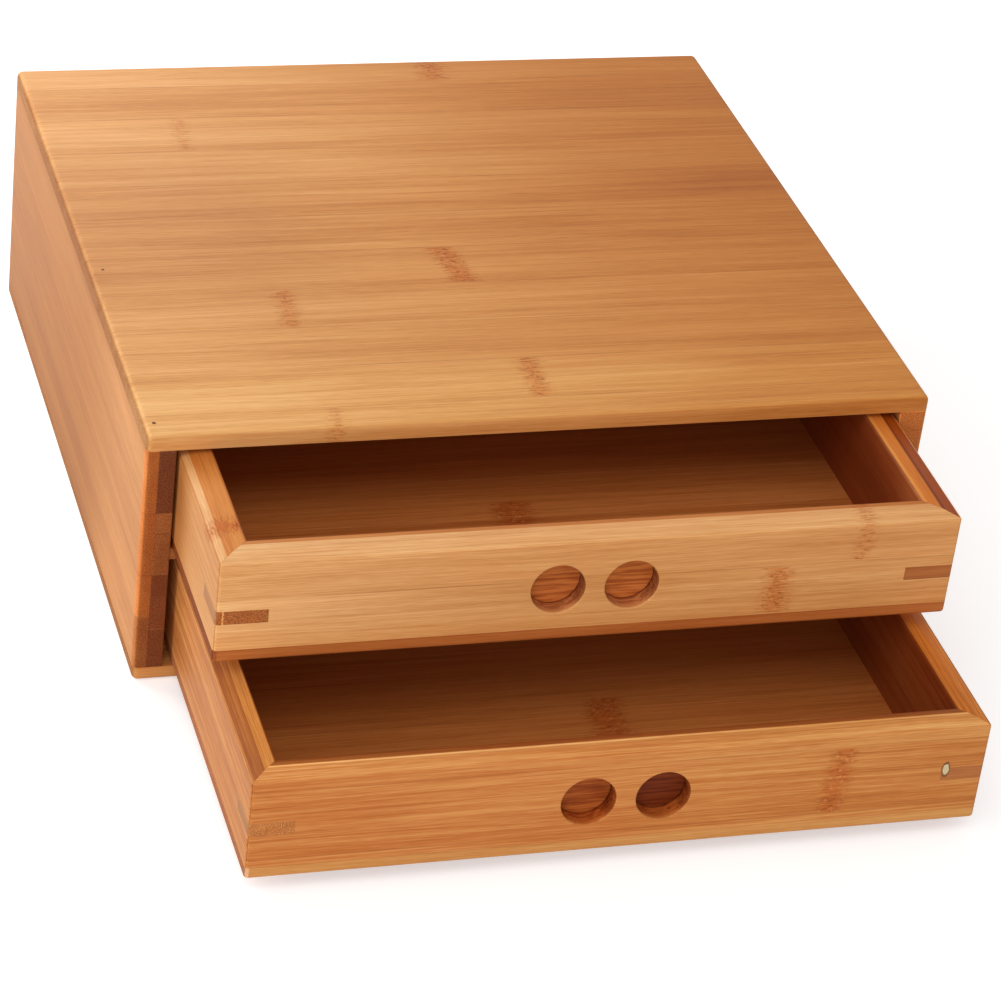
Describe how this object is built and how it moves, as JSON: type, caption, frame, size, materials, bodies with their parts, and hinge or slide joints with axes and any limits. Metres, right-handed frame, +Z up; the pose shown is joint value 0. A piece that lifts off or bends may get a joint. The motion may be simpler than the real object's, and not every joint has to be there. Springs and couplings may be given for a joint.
{
  "type": "drawer box",
  "caption": "Low bamboo box for tea bags with two shallow sliding drawers, mitred and keyed at their corners, each pulled by a pair of round finger recesses.",
  "frame": {"origin": "centre of the cabinet's footprint, on its underside", "axes": "+X to the right as seen from the front, +Y from front to back, +Z up; the drawers open towards -Y"},
  "size_m": [0.3, 0.42, 0.1065],
  "materials": {
    "board_bamboo": "satin",
    "side_bamboo": "satin",
    "upper_drawer_bamboo": "satin",
    "lower_drawer_bamboo": "satin",
    "floor_bamboo": "satin",
    "upper_keys": "satin",
    "lower_keys": "satin"
  },
  "bodies": {
    "cabinet": {"top_board": "board_bamboo", "bottom_board": "board_bamboo", "left_side": "side_bamboo", "right_side": "side_bamboo", "back_panel": "board_bamboo", "divider_shelf": "board_bamboo"},
    "upper_drawer": {"upper_front": "upper_drawer_bamboo", "upper_back": "upper_drawer_bamboo", "upper_left_wall": "upper_drawer_bamboo", "upper_right_wall": "upper_drawer_bamboo", "upper_floor": "floor_bamboo", "upper_key_front_left": "upper_keys", "upper_key_front_right": "upper_keys", "upper_key_back_left": "upper_keys", "upper_key_back_right": "upper_keys"},
    "lower_drawer": {"lower_front": "lower_drawer_bamboo", "lower_back": "lower_drawer_bamboo", "lower_left_wall": "lower_drawer_bamboo", "lower_right_wall": "lower_drawer_bamboo", "lower_floor": "floor_bamboo", "lower_key_front_left": "lower_keys", "lower_key_front_right": "lower_keys", "lower_key_back_left": "lower_keys", "lower_key_back_right": "lower_keys"}
  },
  "joints": [
    {"name": "upper_drawer_slide", "type": "slide", "parent": "cabinet", "child": "upper_drawer", "axis": [0, -1, 0], "range_m": [-0.069, 0.146]},
    {"name": "lower_drawer_slide", "type": "slide", "parent": "cabinet", "child": "lower_drawer", "axis": [0, -1, 0], "range_m": [-0.128, 0.087]}
  ]
}
